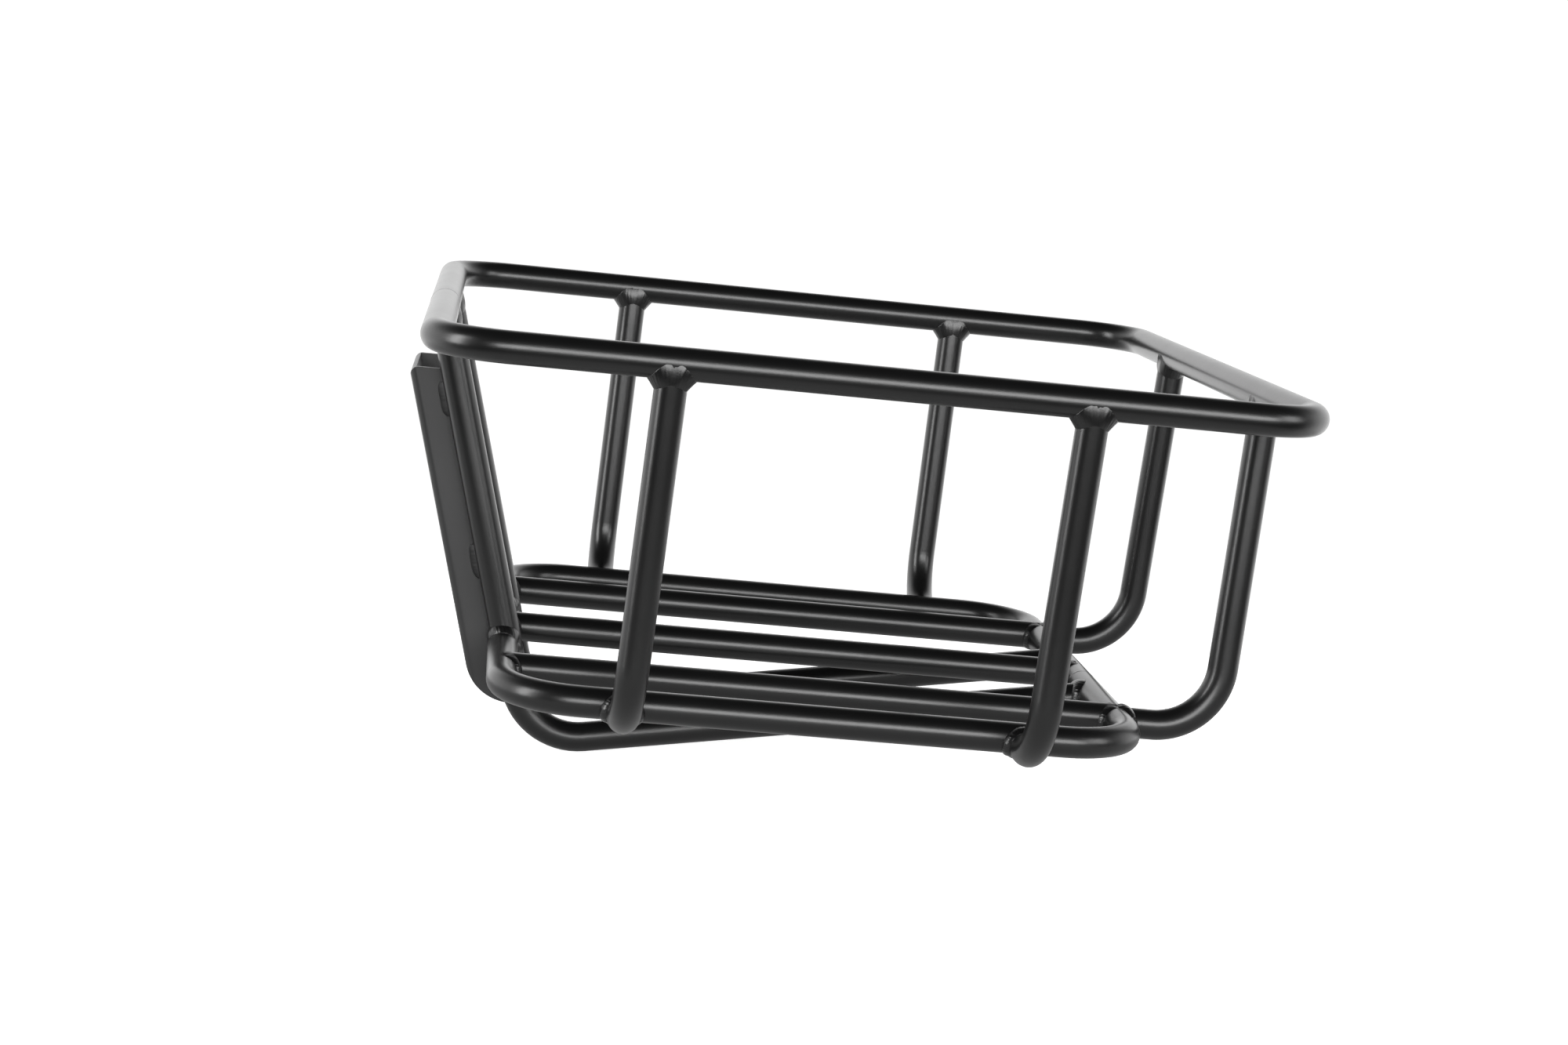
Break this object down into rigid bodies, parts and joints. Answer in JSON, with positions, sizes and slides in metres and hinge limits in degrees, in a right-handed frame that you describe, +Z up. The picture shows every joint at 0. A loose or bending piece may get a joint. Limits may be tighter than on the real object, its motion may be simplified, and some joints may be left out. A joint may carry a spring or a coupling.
{
  "type": "bicycle front carrier basket",
  "caption": "Open front carrier basket of welded black round tube with level rounded rims, a barred floor, and a leaning U-channel bracket that bolts to the head of a bicycle.",
  "frame": {"origin": "centre of the four bolt holes, on the rear face of the mounting channel", "axes": "+X forward, away from the bicycle; +Y to the rider's left; +Z up, square to both rims"},
  "size_m": [0.342, 0.3684, 0.1809],
  "materials": {
    "tube": "satin black powder coat",
    "bracket": "satin black powder coat on folded sheet",
    "weld": "satin black powder coat over weld bead"
  },
  "bodies": {
    "root": {"top_rim": "tube", "floor_rim": "tube", "floor_bar_left": "tube", "floor_bar_centre": "tube", "floor_bar_right": "tube", "side_upright_left_rear": "tube", "side_upright_left_front": "tube", "side_upright_right_rear": "tube", "side_upright_right_front": "tube", "front_upright_left": "tube", "front_upright_right": "tube", "rear_upright_left": "tube", "rear_upright_right": "tube", "under_strut_left": "tube", "under_strut_right": "tube", "mounting_channel": "bracket", "top_rim_welds": "weld", "floor_side_welds": "weld", "floor_end_welds": "weld", "floor_bar_welds": "weld", "strut_welds": "weld", "channel_welds": "weld"}
  },
  "joints": []
}
